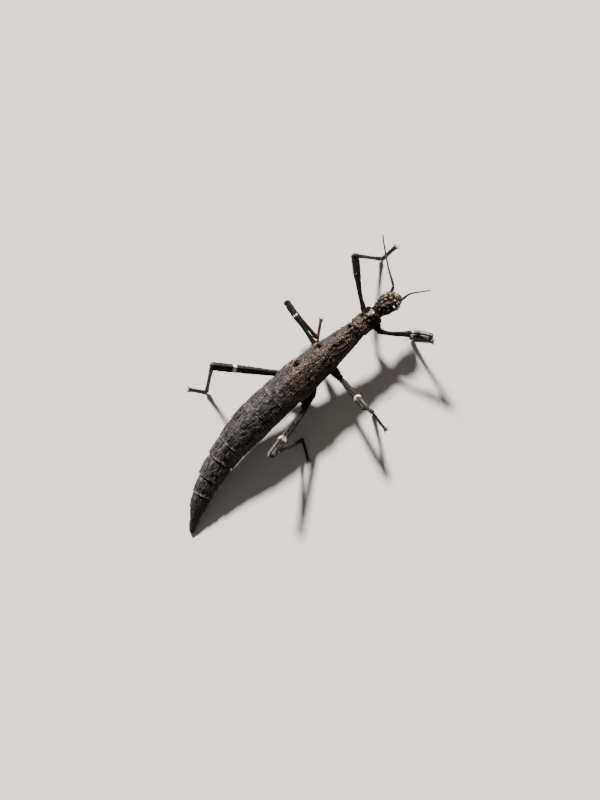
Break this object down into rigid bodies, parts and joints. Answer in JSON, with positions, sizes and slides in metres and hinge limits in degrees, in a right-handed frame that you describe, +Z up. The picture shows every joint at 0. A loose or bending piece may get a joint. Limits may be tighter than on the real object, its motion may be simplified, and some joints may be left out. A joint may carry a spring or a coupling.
{
  "type": "giant stick insect",
  "caption": "Still life-size giant stick insect: stout bark-like body, six ridged pale-banded legs, short feelers, tail tip resting down.",
  "frame": {"origin": "centre of the model's bounding box in X and Y, at the level of the soles", "axes": "+Y towards the head, +X to the insect's right, +Z up from the ground"},
  "size_m": [0.0542, 0.1076, 0.0266],
  "materials": {
    "abdomen": "dark grey-brown wrinkled cuticle, matt with a faint sheen, paler at the joints",
    "thorax": "pinkish-brown granular cuticle with small pale tubercles, matt",
    "limb": "dark ridged cuticle with a cream band on each thigh, faint sheen",
    "antenna": "dark reddish-brown, faint sheen",
    "eye": "glossy brown with darker flecks"
  },
  "bodies": {
    "root": {"abdomen_1": "abdomen", "abdomen_10": "abdomen", "abdomen_2": "abdomen", "abdomen_3": "abdomen", "abdomen_4": "abdomen", "abdomen_5": "abdomen", "abdomen_6": "abdomen", "abdomen_7": "abdomen", "abdomen_8": "abdomen", "abdomen_9": "abdomen", "antenna_left": "antenna", "antenna_right": "antenna", "coxa_fore_left": "thorax", "coxa_fore_right": "thorax", "coxa_hind_left": "thorax", "coxa_hind_right": "thorax", "coxa_mid_left": "thorax", "coxa_mid_right": "thorax", "egg_plate": "abdomen", "eye_left": "eye", "eye_right": "eye", "femur_fore_left": "limb", "femur_fore_right": "limb", "femur_hind_left": "limb", "femur_hind_right": "limb", "femur_mid_left": "limb", "femur_mid_right": "limb", "head": "thorax", "jaws": "limb", "mesothorax": "thorax", "metathorax": "thorax", "neck": "thorax", "palp_left": "limb", "palp_right": "limb", "prothorax": "thorax", "tarsus_fore_left": "limb", "tarsus_fore_right": "limb", "tarsus_hind_left": "limb", "tarsus_hind_right": "limb", "tarsus_mid_left": "limb", "tarsus_mid_right": "limb", "tibia_fore_left": "limb", "tibia_fore_right": "limb", "tibia_hind_left": "limb", "tibia_hind_right": "limb", "tibia_mid_left": "limb", "tibia_mid_right": "limb"}
  },
  "joints": []
}
